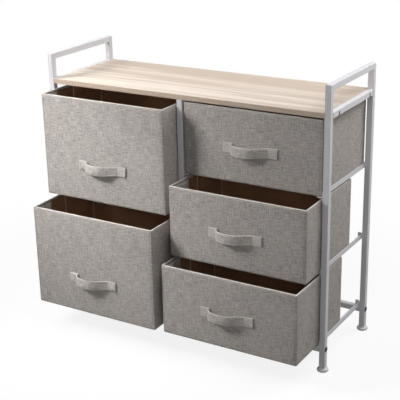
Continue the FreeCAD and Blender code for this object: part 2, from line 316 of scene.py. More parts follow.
def woven_cloth(name, light, dark, pitch):
    """Plain weave with uneven threads both ways and flecks, with painted shade in the seams and a
    painted highlight on folded edges.
    """
    finish = Finish(name)
    place = finish.own_map()
    across, along = 560, 45   # spots in a metre across a thread and along it
    upright = finish.noise(place, (across, along, 1), detail=3)
    level = finish.noise(place, (along, across, 1), detail=3)
    fleck = finish.noise(place, (480, 480, 1))
    cloud = finish.noise(place, (30, 12, 1))
    tone = upright * 0.65 + level * 0.8 + fleck * 0.85 + cloud * 0.15
    colour = finish.mix(finish.smooth_step(tone, 0.95, 1.5), dark, light)
    seam = finish.node("ShaderNodeAttribute", {"attribute_name": SEAM}, out="Fac")
    # painted shade: the cloth darkens in the seam grooves
    colour = finish.mix(seam * 0.3, colour, shade(dark, 0.45))
    # painted highlight: the cloth pales on folded edges that catch the light
    colour = finish.mix(seam * RIM * 0.45, colour, paler(light, 0.45))
    height = weave_height(finish, place, pitch) * 0.5 + upright * 0.9 + level * 0.9
    return finish.done(
        Base_Color=colour, Roughness=0.93, Specular_IOR_Level=0.15, Sheen_Weight=0.06,
        Sheen_Roughness=0.5, Normal=finish.bump(height, 0.55, 0.35 * MM))


def bonded_cloth(name, colour):
    """Thin bonded cloth with rows of small pressed dots."""
    finish = Finish(name)
    place = finish.own_map()
    fibre = finish.noise(place, (900, 260, 1), detail=3)
    cloud = finish.noise(place, (18, 12, 1))
    dots = weave_height(finish, place, 1.1 * MM)
    tone = finish.smooth_step(fibre * 0.6 + cloud * 0.4, 0.3, 0.7)
    return finish.done(
        Base_Color=finish.mix(tone, shade(colour, 0.78), shade(colour, 1.2)), Roughness=0.86,
        Specular_IOR_Level=0.2, Normal=finish.bump(dots * 0.6 + fibre, 0.3, 0.25 * MM))


def powder_coat(name, colour, bore_shade=None, shaded_bore=None):
    """Satin coat with a fine orange peel.

    The last two arguments give a dark colour and the axis (x, z) and half width of a tube whose
    inside takes it: painted shade in the hollow that a rail's slots show.
    """
    finish = Finish(name)
    place = finish.objects()
    peel = finish.noise(place, 1100, detail=1)
    patch = finish.noise(place, 14)
    coated = finish.mix(patch, shade(colour, 0.94), colour)
    if shaded_bore:
        x, z, half = shaded_bore
        across, up = (finish.math("ABSOLUTE", place.part(axis) - centre)
                      for axis, centre in ((0, x), (2, z)))
        # painted shade: the inside of the tube takes the dark colour
        coated = finish.mix(finish.math("MAXIMUM", across, up) > half, bore_shade, coated)
    return finish.done(
        Base_Color=coated, Roughness=0.38 + patch * 0.16, Specular_IOR_Level=0.38,
        Normal=finish.bump(peel, 0.12, 0.12 * MM))


def wood_board(name, ground, grain, edge):
    """Pale board with grain along its length and a plain band on its edges."""
    finish = Finish(name)
    place = finish.objects()
    wander = finish.noise(place, (2.2, 9, 1))
    long_grain = finish.noise(place, (2.0, 85, 8), detail=4, roughness=0.66, distortion=0.3)
    pores = finish.noise(place, (26, 900, 300))
    broad = finish.noise(place, (1.3, 22, 2), distortion=0.5)
    tone = finish.smooth_step(long_grain * 0.6 + broad * 0.4 + wander * 0.12, 0.46, 0.66)
    face = finish.mix(tone * 0.78, ground, grain)
    face = finish.mix(finish.smooth_step(pores, 0.6, 0.78) * 0.35, face, shade(grain, 0.8))
    streaks = finish.smooth_step(pores, 0.45, 0.7) * 0.35 + broad * 0.3
    band = finish.mix(streaks, edge, shade(edge, 0.72))
    upright = finish.node("ShaderNodeNewGeometry", out="True Normal").part(2)
    level = finish.math("ABSOLUTE", upright) > 0.6
    return finish.done(
        Base_Color=finish.mix(level, band, face), Roughness=0.5 + pores * 0.14,
        Specular_IOR_Level=0.3,
        Normal=finish.bump(pores * 0.6 + long_grain * 0.4, 0.18, 0.15 * MM))


def worn_metal(name, colour, metallic, roughness):
    """Turned metal with fine marks."""
    finish = Finish(name)
    marks = finish.noise(finish.objects(), 700, detail=3)
    return finish.done(
        Base_Color=finish.mix(marks * 0.5, colour, shade(colour, 1.35)), Metallic=metallic,
        Roughness=roughness + marks * 0.15, Normal=finish.bump(marks, 0.1, 0.1 * MM))


def moulded_plastic(name, colour):
    finish = Finish(name)
    place = finish.objects()
    grain = finish.noise(place, 900)
    cloud = finish.noise(place, 60, detail=1)
    return finish.done(
        Base_Color=finish.mix(cloud, shade(colour, 0.93), colour),
        Roughness=0.34 + grain * 0.12, Normal=finish.bump(grain, 0.08, 0.1 * MM))


def pressed_card(name, colour):
    finish = Finish(name)
    fibre = finish.noise(finish.objects(), (240, 240, 800), detail=4)
    return finish.done(
        Base_Color=finish.mix(fibre, shade(colour, 0.75), colour), Roughness=0.92,
        Normal=finish.bump(fibre, 0.2, 0.2 * MM))


def sewing_thread(name, colour):
    """Twisted thread: light and dark turns too fine to count."""
    finish = Finish(name)
    twist = finish.noise(finish.objects(), 2600, detail=1)
    tone = finish.smooth_step(twist, 0.35, 0.65)
    return finish.done(
        Base_Color=finish.mix(tone, shade(colour, 0.6), colour), Roughness=0.7,
        Sheen_Weight=0.1, Normal=finish.bump(twist, 0.3, 0.1 * MM))


# ---------------------------------------------------------------- meshes
def make_object(name, points, faces, material, flat_map=None, seams=None):
    """Smooth object at the origin. flat_map gives each point's place on the cloth."""
    mesh = bpy.data.meshes.new(name)
    mesh.from_pydata([tuple(p) for p in points], [], faces)
    mesh.materials.append(material)
    if flat_map:
        layer = mesh.uv_layers.new(name=CLOTH_MAP)
        for corner in mesh.loops:
            layer.data[corner.index].uv = flat_map[corner.vertex_index]
    if seams:
        attribute = mesh.attributes.new(SEAM, "FLOAT", "POINT")
        attribute.data.foreach_set("value", seams)
    mesh.polygons.foreach_set("use_smooth", [True] * len(mesh.polygons))
    mesh.update()
    made = bpy.data.objects.new(name, mesh)
    bpy.context.scene.collection.objects.link(made)
    return made


def sheet_faces(rows, count, closed=False, first=0):
    """Faces between rows of count points each. Closed rows run round in a ring."""
    faces = []
    for start in range(first, first + (rows - 1) * count, count):
        for i in range(count if closed else count - 1):
            j = (i + 1) % count
            faces.append((start + i, start + j, start + count + j, start + count + i))
    return faces


def tube_faces(rings, count, first=0, capped="both"):
    """Faces of a tube of rings of count points each, closed over at both ends or at one."""
    faces = sheet_faces(rings, count, True, first)
    last = first + (rings - 1) * count
    if capped in ("both", "start"):
        faces.append(tuple(range(first, first + count))[::-1])
    if capped in ("both", "end"):
        faces.append(tuple(range(last, last + count)))
    return faces


def thicken(made, thickness):
    """Gives a sheet its thickness, inwards from its outer face."""
    solidify = made.modifiers.new("Thickness", "SOLIDIFY")
    solidify.thickness, solidify.offset = thickness, -1
    solidify.use_even_offset = True
    bake_modifiers(made)


def bake_modifiers(made):
    """Turns what the modifiers make into the piece's own mesh."""
    graph = bpy.context.evaluated_depsgraph_get()
    mesh = bpy.data.meshes.new_from_object(
        made.evaluated_get(graph), preserve_all_data_layers=True, depsgraph=graph)
    made.modifiers.clear()
    old, made.data = made.data, mesh
    bpy.data.meshes.remove(old)


def turned(profile, segments):
    """Points and faces of a profile of (radius, height) turned about Z, closed at both ends.

    A radius is a number, or a function that gives it at an angle.
    """
    points = []
    for radius, height in profile:
        for i in range(segments):
            a = 2 * math.pi * i / segments
            reach = radius(a) if callable(radius) else radius
            points.append((reach * math.cos(a), reach * math.sin(a), height))
    return points, tube_faces(len(profile), segments)


def finish_node(node, material):
    """Gives a CAD node its finish."""
    made = frame["nodes"][node]
    if not made.material_slots:
        made.data.materials.append(material)
    for material_slot in made.material_slots:
        material_slot.material = material


def nodes_named(*starts):
    return [n for n in frame["nodes"] if n.startswith(starts)]


# ---------------------------------------------------------------- trees that repeat a piece
class Repeater(Tree):
    """A Geometry Nodes tree with named inputs."""

    def __init__(self, name, inputs):
        super().__init__(bpy.data.node_groups.new(name, "GeometryNodeTree"))
        sockets = self.tree.interface
        for way in ("OUTPUT", "INPUT"):
            sockets.new_socket("Geometry", in_out=way, socket_type="NodeSocketGeometry")
        self.names = {
            label: sockets.new_socket(label, in_out="INPUT", socket_type=kind).identifier
            for label, kind in inputs.items()}

    def given(self, label):
        return self.node("NodeGroupInput", out=label)

    def end(self, instances):
        """Makes the copies real and smooth, gives them their material and ends the tree."""
        real = self.node("GeometryNodeRealizeInstances", None, {"Geometry": instances})
        smooth = self.node("GeometryNodeSetShadeSmooth", None, {"Geometry": real})
        done = self.node("GeometryNodeSetMaterial", None, {
            "Geometry": smooth, "Material": self.given("Material")})
        self.node("NodeGroupOutput", None, {0: done})

    def run(self, name, points, edges, values, directions=None):
        """Plain mesh that the tree makes from points or paths."""
        mesh = bpy.data.meshes.new(name)
        mesh.from_pydata([tuple(p) for p in points], edges, [])
        if directions:
            attribute = mesh.attributes.new("direction", "FLOAT_VECTOR", "POINT")
            attribute.data.foreach_set("vector", [c for d in directions for c in d])
        made = bpy.data.objects.new(name, mesh)
        bpy.context.scene.collection.objects.link(made)
        modifier = made.modifiers.new("Repeat", "NODES")
        modifier.node_group = self.tree
        for label, value in values.items():
            modifier[self.names[label]] = value
        bake_modifiers(made)
        return made


def path_repeater():
    """Small rounded pieces laid end to end along paths, such as stitches and weld ripples."""
    tree = Repeater("Pieces along paths", {
        "Piece length": "NodeSocketFloat", "Piece width": "NodeSocketFloat",
        "Pitch": "NodeSocketFloat", "Material": "NodeSocketMaterial"})
    paths = tree.node("GeometryNodeMeshToCurve", None, {"Mesh": tree.given("Geometry")})
    spots = tree.node("GeometryNodeResampleCurve", {"mode": "LENGTH"}, {
        "Curve": paths, "Length": tree.given("Pitch")})
    turn = tree.node("FunctionNodeAlignRotationToVector", {"axis": "X"}, {
        "Vector": tree.node("GeometryNodeInputTangent")})
    size = tree.node("ShaderNodeCombineXYZ", None, {
        0: tree.given("Piece length"), 1: tree.given("Piece width"),
        2: tree.given("Piece width")})
    piece = tree.node("GeometryNodeMeshUVSphere", None, {
        "Segments": 6, "Rings": 5, "Radius": 0.5})
    # the poles point along the piece
    lying = tree.node("GeometryNodeTransform", None, {
        "Geometry": piece, "Rotation": (0, math.pi / 2, 0)})
    tree.end(tree.node("GeometryNodeInstanceOnPoints", None, {
        "Points": spots, "Instance": lying, "Rotation": turn, "Scale": size}))
    return tree


def point_repeater():
    """Copies of one piece on points, each aimed along the point's direction."""
    tree = Repeater("Copies on points", {
        "Piece": "NodeSocketObject", "Material": "NodeSocketMaterial"})
    piece = tree.node(
        "GeometryNodeObjectInfo", None, {"Object": tree.given("Piece")}, out="Geometry")
    aim = tree.node(
        "GeometryNodeInputNamedAttribute", {"data_type": "FLOAT_VECTOR"}, {"Name": "direction"})
    turn = tree.node("FunctionNodeAlignRotationToVector", {"axis": "Z"}, {"Vector": aim})
    spots = tree.node("GeometryNodeMeshToPoints", None, {"Mesh": tree.given("Geometry")})
    tree.end(tree.node("GeometryNodeInstanceOnPoints", None, {
        "Points": spots, "Instance": piece, "Rotation": turn}))
    return tree


def copies_on_points(name, shape, places, directions, material):
    """One mesh of copies of a shape whose head points along +Z, aimed along each direction."""
    pattern = make_object(name + "_pattern", *shape, material)
    values = {"Piece": pattern, "Material": material}
    made = point_repeater().run(name, places, [], values, directions)
    bpy.data.objects.remove(pattern)
    return made


def chained(paths):
    """Points and edges of several paths, each a list of points and whether it closes."""
    points, edges = [], []
    for path, closed in paths:
        first = len(points)
        points.extend(path)
        edges += [(first + i, first + i + 1) for i in range(len(path) - 1)]
        if closed:
            edges.append((len(points) - 1, first))
    return points, edges


# ---------------------------------------------------------------- the drawers
DRAWERS = ["upper_left", "lower_left", "upper_right", "middle_right", "lower_right"]
PAINTED_LIGHT_FACING_DEPTH = {   # painted light: how far the pale cover cloth runs back along the inside of the side walls, set for each drawer to where the shade of the board or the drawer above begins
    "upper_left": 57 * MM, "lower_left": 68 * MM, "upper_right": 80 * MM,
    "middle_right": 86 * MM, "lower_right": 84 * MM,
}
FACING_CLOTH = 0.9 * MM
INNER_CORNER = 3 * MM     # radius of the folds of the facing and of the lining's floor
SPACING = 8 * MM          # between the rows of points of a wall, both ways
CORNER_STEPS, RIM_STEPS = 5, 7
LEAST_CORNER = 0.6 * MM   # radius that the inside of a corner keeps
ROUNDNESS = 0.7           # of the swelling of a wall: 0 stands out all over, 1 in the middle
SIDE_SWELL = 0.6          # swelling of the other walls, as a share of the front's
DEEPEST_DENT = 0.6 * MM
BROAD_WAVES, SMALL_WAVES = (3.1, 2.3), (8.2, 5.1)   # waves of a wall along it and up it
SEAM_DEPTH, SEAM_WIDTH = 0.55 * MM, 1.4 * MM        # upright seams at the corners
SEAM_PLACE, SEAM_TOP = 1.5 * MM, 3 * MM             # from the corner, and from the rim
GROOVE_DEPTH, GROOVE_SIDE = 0.4 * MM, 1.1 * MM      # groove that the rim's stitches lie in
THREAD_LIFT = 0.1 * MM    # of a stitch over its cloth
HEM_TUCK = 0.8 * MM       # how far the hem's edge is turned in
LINING_DROP = 2.2 * MM    # from the rim to the lining's upper edge, under the hem
UNDER_HEM = 1 * MM        # how far facing and tapes run up behind the hem
TAPE_HALF, TAPE_RISE, TAPE_STEPS = 2.0 * MM, 0.9 * MM, 8
REAR_TAPE = 1.1 * MM, 3.2 * MM   # from the lining's side and rear walls


def stations(span):
    """Places along a straight wall, closer together near its ends."""
    near = [0, 1.5 * MM, 3.5 * MM, 8 * MM]
    inner = span - 2 * near[-1]
    middle = spread(near[-1], near[-1] + inner, max(2, round(inner / SPACING)))[1:-1]
    return near + middle + [span - d for d in reversed(near)]


def corner_arc(centre, radius, start, end):
    """Points inside an arc, without its two ends."""
    angles = spread(start, end, 4)[1:-1]
    return [centre + Vector((math.cos(a), math.sin(a))) * radius for a in angles]


class Drawer:
    """One drawer: its box, and the shape that its cloth takes."""

    def __init__(self, name, sizes):
        self.name, self.sizes, self.body = name, sizes, "drawer_" + name
        self.low, self.high = node_box(self.body + "_cover")
        self.width = self.high.x - self.low.x
        self.height = self.high.z - self.low.z
        self.seed = 7.3 * DRAWERS.index(name)

    def loop(self, inset, corner):
        """Loop round the drawer, seen from above, anticlockwise from the front's left end.

        Each place is (point, outward direction, way round the outer face, wall, share along it).
        """
        low, high = self.low, self.high
        depth = high.y - low.y
        inner = max(corner - inset, LEAST_CORNER)
        walls = [("front", self.width, Vector((1, 0)), Vector((low.x, low.y))),
                 ("right", depth, Vector((0, 1)), Vector((high.x, low.y))),
                 ("rear", self.width, Vector((-1, 0)), Vector((high.x, high.y))),
                 ("left", depth, Vector((0, -1)), Vector((low.x, high.y)))]
        loop, travelled = [], 0.0
        for wall, span, way, start in walls:
            out = Vector((way.y, -way.x))
            straight = span - 2 * corner
            for d in stations(straight):
                t = d / straight
                along = inset + inner + t * (span - 2 * (inset + inner))
                spot = start + way * along - out * inset
                loop.append((spot, out, travelled + corner + d, wall, t))
            centre = start + way * (span - inset - inner) - out * (inset + inner)
            for k in range(1, CORNER_STEPS):
                t = k / CORNER_STEPS
                a = math.pi / 2 * k / CORNER_STEPS
                direction = out * math.cos(a) + way * math.sin(a)
                round_by = travelled + span - corner + 2 * corner * k / CORNER_STEPS
                spot = centre + direction * inner
                loop.append((spot, direction, round_by, wall + "_corner", t))
            travelled += span
        return loop

    def swell(self, wall, share_along, height):
        """How far the cover stands out from its flat wall, in metres."""
        if wall.endswith("corner"):
            return 0.0
        up = height / self.height
        dome = (4 * share_along * (1 - share_along)) ** ROUNDNESS
        dome *= (4 * up * (1 - up)) ** ROUNDNESS
        amount = self.sizes.puff * (1.0 if wall == "front" else SIDE_SWELL) * dome
        uneven = self.wavy(share_along, up, BROAD_WAVES, 0)
        uneven += 0.5 * self.wavy(share_along, up, SMALL_WAVES, 3)
        amount += self.sizes.ripple * uneven * min(1.0, 6 * up, 6 * (1 - up))
        if wall == "front":
            amount += self.front_marks(share_along * self.width, height)
        return max(amount, -DEEPEST_DENT)

    def wavy(self, share_along, up, waves, layer):
        """Smooth unevenness of the cloth, from about -1 to 1, another one for each drawer."""
        return noise.noise(Vector((share_along * waves[0], up * waves[1], self.seed + layer)))

    def front_marks(self, x, z):
        """How far the marks that only one front has stand out. x runs from its left edge."""
        if self.name == "middle_right":
            # a few upright folds that rise from the foot of the front
            aside, reach, height = x - self.width * 0.55, 62 * MM, 0.55 * MM
            folds = math.cos(aside / (13 * MM) * 1.1)
            return height * folds * bell(aside, reach) * bell(z, reach)
        if self.name == "upper_left":
            # a winding crease near the left end of the rim
            down, depth, width = self.height - z, 0.45 * MM, 3.2 * MM
            middle = 26 * MM + 9 * MM * math.cos(down / (22 * MM))
            crease = -depth * bell(x - middle, width) * bell(down - 34 * MM, 22 * MM)
            # a broad shallow dent that slants up to the left
            right, up, depth = x - 268 * MM, z - 195 * MM, 2.0 * MM
            across, along = right * 0.8 + up * 0.6, up * 0.8 - right * 0.6
            return crease - depth * bell(across, 30 * MM) * bell(along, 70 * MM)
        return 0.0

    def cover_rows(self):
        """(inset, height, seam, swells) of each loop, from the underside over the rim and in."""
        s, top, foot = self.sizes, self.height, self.sizes.foot_round
        seam = top - s.rim_seam
        low, high = foot + 5 * MM, seam - 4 * MM
        heights = [foot] + spread(low, high, round((high - low) / SPACING))
        rows = [(foot, 0, 0, False), (foot * 0.3, foot * 0.3, 0, False)]
        rows += [(0, height, 0, True) for height in heights]
        # the stitch groove's seam value of 0.5 darkens the cloth there as painted shade
        rows += [(0, seam - GROOVE_SIDE, 0, True), (GROOVE_DEPTH, seam, 0.5, True),
                 (0, seam + GROOVE_SIDE, 0, True)]
        radius = s.wall / 2
        # the top of the rim takes a painted highlight (RIM), where the fold catches the light
        for k in range(RIM_STEPS + 1):
            a = math.pi * k / RIM_STEPS
            rows.append((radius - radius * math.cos(a), top - radius + radius * math.sin(a),
                         RIM if 1 < k < RIM_STEPS - 1 else 0, False))
        hem = top - s.hem
        return rows + [(s.wall, hem, 0, False), (s.wall - HEM_TUCK, hem - 0.3 * MM, 0, False)]

    def corner_seam(self, wall, t, height):
        """Upright seams where the front and rear panels meet the sides, from 0 to 1."""
        if wall in ("front", "rear") and height < self.height - SEAM_TOP:
            straight = self.width - 2 * self.sizes.corner
            return bell(min(t, 1 - t) * straight - SEAM_PLACE, SEAM_WIDTH)
        return 0.0

    def cover(self, material):
        """Outer cloth, turned over the rim and hemmed inside."""
        points, flat_map, seams = [], [], []
        rows = self.cover_rows()
        climbed, before = 0.0, rows[0]
        for row in rows:
            inset, height, seam, swells = row
            climbed += math.hypot(inset - before[0], height - before[1])
            before = row
            for place, out, travelled, wall, t in self.loop(inset, self.sizes.corner):
                stand = self.swell(wall, t, height) if swells else 0.0
                upright = self.corner_seam(wall, t, height)
                sunk = SEAM_DEPTH * upright * (inset < self.sizes.wall / 2)
                spot = place + out * (stand - sunk)
                points.append((spot.x, spot.y, self.low.z + height))
                flat_map.append((travelled, climbed))
                # the seam value darkens the cloth in the corner seam grooves as painted shade
                seams.append(seam if seam == RIM else max(seam, upright))
        faces = tube_faces(len(rows), len(points) // len(rows), capped="start")
        made = make_object(self.body + "_cover_cloth", points, faces, material, flat_map, seams)
        thicken(made, self.sizes.cloth)
        return made

    def rim_path(self):
        """Row of stitches round the outside of the rim, lying in its groove."""
        seam = self.height - self.sizes.rim_seam
        path = []
        for place, out, _, wall, t in self.loop(GROOVE_DEPTH, self.sizes.corner):
            spot = place + out * (self.swell(wall, t, seam) + THREAD_LIFT)
            path.append((spot.x, spot.y, self.low.z + seam))
        return path

    def lining(self, material):
        """Dark inner cloth: walls and floor."""
        s, turn = self.sizes, INNER_CORNER
        inset, floor = s.lining_inset, s.lining_floor
        heights = spread(self.height - LINING_DROP, floor + turn, 12)
        rows = [(inset, height) for height in heights]
        rows += [(inset + 0.8 * MM, floor + 0.8 * MM), (inset + turn, floor)]
        points, flat_map = [], []
        for inset, height in rows:
            for place, _, travelled, _, _ in self.loop(inset, s.corner + turn):
                points.append((place.x, place.y, self.low.z + height))
                flat_map.append((travelled, height))
        faces = tube_faces(len(rows), len(points) // len(rows), capped="end")
        made = make_object(self.body + "_lining_cloth", points, faces, material, flat_map)
        thicken(made, s.lining_cloth)
        return made

    def facing(self, material):
        """Cover cloth lining the front wall and the front ends of the side walls; on the side walls
        it reaches back only as far as the light falls inside each drawer, as painted light.
        """
        s, turn, quarter = self.sizes, INNER_CORNER, math.pi / 2
        x0, x1 = self.low.x + s.wall, self.high.x - s.wall
        y0, y1 = self.low.y + s.wall, self.low.y + PAINTED_LIGHT_FACING_DEPTH[self.name]
        plan = [Vector((x0, y)) for y in spread(y1, y0 + turn, 10)]
        plan += corner_arc(Vector((x0 + turn, y0 + turn)), turn, 2 * quarter, 3 * quarter)
        plan += [Vector((x, y0)) for x in spread(x0 + turn, x1 - turn, 40)]
        plan += corner_arc(Vector((x1 - turn, y0 + turn)), turn, 3 * quarter, 4 * quarter)
        plan += [Vector((x1, y)) for y in spread(y0 + turn, y1, 10)]
        top, bottom = self.high.z - s.hem + UNDER_HEM, self.low.z + s.lining_floor + 0.6 * MM
        points, flat_map, heights = [], [], spread(top, bottom, 14)
        for z in heights:
            travelled = 0.0
            for i, spot in enumerate(plan):
                travelled += (spot - plan[i - 1]).length if i else 0.0
                give = 0.35 * MM * self.wavy(travelled, z, (14, 14), 0)
                inside = 0 < i < len(plan) - 1
                points.append((spot.x, spot.y + max(0.0, give) * inside, z))
                flat_map.append((travelled, z))
        faces = sheet_faces(len(heights), len(plan))
        made = make_object(self.body + "_facing", points, faces, material, flat_map)
        thicken(made, FACING_CLOTH)
        return made

    def lining_tapes(self, material):
        """Raised tapes over the lining's upright seams: the fold lines and the rear corners."""
        s, inset, (from_side, from_rear) = self.sizes, self.sizes.lining_inset, REAR_TAPE
        middle = (self.low.y + self.high.y) / 2
        rear = self.high.y - inset - from_rear
        x0, x1 = self.low.x + inset, self.high.x - inset
        spots = [(x0, middle, 0), (x1, middle, math.pi),
                 (x0 + from_side, rear, 0), (x1 - from_side, rear, math.pi)]
        bottom, top = self.low.z + s.lining_floor + 1 * MM, self.high.z - s.hem + UNDER_HEM
        points, faces, flat_map = [], [], []
        for x, y, facing in spots:
            faces += tube_faces(TAPE_STEPS + 1, TAPE_STEPS + 1, first=len(points))
            for z in spread(bottom, top, TAPE_STEPS):
                for k in range(TAPE_STEPS + 1):
                    a = facing - math.pi / 2 + math.pi * k / TAPE_STEPS
                    points.append((x + TAPE_RISE * math.cos(a), y + TAPE_HALF * math.sin(a), z))
                    flat_map.append((k * 0.5 * MM, z))
        return make_object(self.body + "_seam_tape", points, faces, material, flat_map)


def drawers(scene):
    return [Drawer(name, scene.dresser_drawers) for name in DRAWERS]


# The loop of a strap in two curves, as (share of the half span, share of the rise).
# It stands up from its left end and falls away gently to its right end.
LOOP_CURVES = [
    [(-1, 0), (-1.13, 0.62), (-0.65, 0.97), (-0.2, 1)],
    [(-0.2, 1), (0.22, 1.03), (0.52, 0.44), (1, 0)],
]
LOOP_STEPS, PATCH_STEPS = 32, 16
STRAP_EDGE = 1.2 * MM      # rounding of the edges
STRAP_GROOVE = 0.9 * MM    # half of the dip along a row of stitches
STRAP_GAP = 0.15 * MM      # between the strap and the cloth under it
CUT_END = 0.62, 0.985      # thickness and width of a strap at its ends, as shares
BACK_OF_CLOTH = 0.03       # how far the back's weave lies from the face's on the cloth
BOX_INSET = 2.5 * MM       # of the sewn box from the ends of its patch
PAINTED_EDGE_HIGHLIGHT, PALE_PATCH = RIM * 0.7, RIM * 0.42   # painted highlight along the folded edges, and the paler taut cloth of a patch


class Strap:
    """Strap handle of one drawer."""

    def __init__(self, drawer, sizes):
        self.drawer, self.sizes = drawer, sizes
        low, high = node_box(drawer.body + "_handle_strap")
        self.middle = Vector(((low.x + high.x) / 2, drawer.low.y, (low.z + high.z) / 2))
        self.half = (high.x - low.x) / 2
        self.width = high.z - low.z
        self.rise = high.y - low.y - sizes.thickness
        self.half_span = self.half - sizes.patch

    def profile(self):
        """(x, distance from the flat front) along the strap's back: patch, loop and patch."""
        patch = [self.half - self.sizes.patch * k / PATCH_STEPS for k in range(PATCH_STEPS)]
        line = [Vector((-x, 0.0, 0.0)) for x in patch]
        for corners in LOOP_CURVES:
            ends = [Vector((x * self.half_span, off * self.rise, 0.0)) for x, off in corners]
            line += interpolate_bezier(*ends, LOOP_STEPS)[:-1]
        line += [Vector((x, 0.0, 0.0)) for x in [self.half_span] + patch[::-1]]
        inner = [(a + b * 2 + c) / 4 for a, b, c in zip(line, line[1:], line[2:])]
        return [spot.xy for spot in [line[0]] + inner + [line[-1]]]

    def sag(self, spot):
        """How far the loop hangs down, which grows with its distance from the front."""
        off = spot.y - self.stand(spot.x) - self.sizes.thickness / 2
        return -self.sizes.droop * max(off, 0.0) / self.rise

    def stand(self, x):
        """How far the cover cloth stands out behind the strap."""
        share_along = (self.middle.x + x - self.drawer.low.x) / self.drawer.width
        swell = self.drawer.swell("front", share_along, self.middle.z - self.drawer.low.z)
        return max(swell, 0.0) + STRAP_GAP

    def centre_line(self):
        """(place of the strap's middle layer, direction outwards) along the strap."""
        lift = self.sizes.thickness / 2
        line = [Vector((x, off + self.stand(x) + lift)) for x, off in self.profile()]
        out = []
        for i, spot in enumerate(line):
            way = line[min(i + 1, len(line) - 1)] - line[max(i - 1, 0)]
            out.append((spot, Vector((-way.y, way.x)).normalized()))
        return out

    def section(self):
        """(across, out) round the strap's section, thinner along its two rows of stitches."""
        half, thick = self.width / 2, self.sizes.thickness / 2
        seam = half - self.sizes.edge_seam
        side = [half * 0.4, seam - STRAP_GROOVE, seam, seam + STRAP_GROOVE, half - STRAP_EDGE]
        face = []
        for a in [-a for a in reversed(side)] + [0] + side:
            dip = 0.26 * bell(abs(a) - seam, 0.6 * MM)
            face.append((a, thick * (0.97 + 0.03 * bell(a, half) - dip)))
        edge = [(half - STRAP_EDGE + STRAP_EDGE * math.sin(t), thick * math.cos(t) * 0.97)
                for t in (0.6, 1.2, 1.9, 2.5)]
        return face + edge + [(a, -o) for a, o in reversed(face)] + [(-a, -o) for a, o in edge]

    def place(self, spot, out, across, away):
        """Point of the strap, from its place on the centre line."""
        at = spot + out * away
        return Vector((
            self.middle.x + at.x, self.middle.y - at.y, self.middle.z + across + self.sag(spot)))

    def webbing(self, material):
        """The strap, with a painted highlight along its folded edges and paler cloth on its sewn
        patches.
        """
        points, flat_map, pale, run = [], [], [], 0.0
        line, section = self.centre_line(), self.section()
        edge = self.width / 2 - self.sizes.edge_seam + 1 * MM   # where the painted edge highlight begins
        for i, (spot, out) in enumerate(line):
            run += (spot - line[i - 1][0]).length if i else 0.0
            thinner, narrower = CUT_END if i in (0, len(line) - 1) else (1, 1)
            sewn = PALE_PATCH if abs(spot.x) > self.half_span else 0.0
            for across, away in section:
                points.append(self.place(spot, out, across * narrower, away * thinner))
                flat_map.append((run, across + (BACK_OF_CLOTH if away < 0 else 0)))
                # the edges take a painted highlight, the patches a paler tone
                pale.append(PAINTED_EDGE_HIGHLIGHT if abs(across) > edge else sewn)
        faces = tube_faces(len(line), len(section))
        return make_object(
            self.drawer.body + "_strap", points, faces, material, flat_map, pale)

    def stitch_paths(self):
        """Rows along both edges, and a box with a cross on each patch."""
        face = self.sizes.thickness / 2 * 0.8 + THREAD_LIFT
        row = self.width / 2 - self.sizes.edge_seam
        line = self.centre_line()[2:-2]
        paths = [[self.place(spot, out, side * row, face) for spot, out in line]
                 for side in (-1, 1)]
        near, far = self.half_span + BOX_INSET, self.half - BOX_INSET
        over = self.sizes.thickness + THREAD_LIFT
        for side in (-1, 1):
            low_near, high_near, low_far, high_far = (
                Vector((self.middle.x + side * x,
                        self.middle.y - over - self.stand(side * x), self.middle.z + z))
                for x in (near, far) for z in (-row, row))
            paths += [[low_near, high_near], [low_far, high_far],
                      [low_near, high_far], [high_near, low_far]]
        return [(path, False) for path in paths]


# ---------------------------------------------------------------- operators for the pieces
RUNNER_WELDS = 15.4 * MM, 7.4 * MM   # from the front and the rear end of a runner
COAT_DEPTH = 0.7 * MM   # into a board rail's wall, where the painted shade of its hollow begins
BOLT_SOCKET, SCREW_SOCKET = 4 * MM, 2.5 * MM   # across the flats


def dress(piece, body, slot, *nodes):
    """Puts a finished piece on the body that it rides on and hides the CAD nodes that it stands
    for; the material slot given is not used.
    """
    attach(piece, body)
    if nodes:
        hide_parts(*nodes)


def weld_lines():
    """Short welds where the runners and the board rails meet the posts."""
    lines, inset = [], 1.5 * MM
    for node in nodes_named("runner"):
        low, high = node_box(node)
        x = high.x if node.endswith("inner") == ("left" in node) else low.x
        for y in (low.y + RUNNER_WELDS[0], high.y - RUNNER_WELDS[1]):
            lines.append([(x, y, low.z + 4 * MM), (x, y, high.z - 2 * MM)])
    for node in nodes_named("board_rail"):
        low, high = node_box(node)
        outer = high.x if "right" in node else low.x
        for y in (low.y, high.y):
            lines.append([(outer, y, low.z + inset), (outer, y, high.z - inset)])
            lines.append([(low.x + inset, y, low.z), (high.x - inset, y, low.z)])
    return [(line, False) for line in lines]


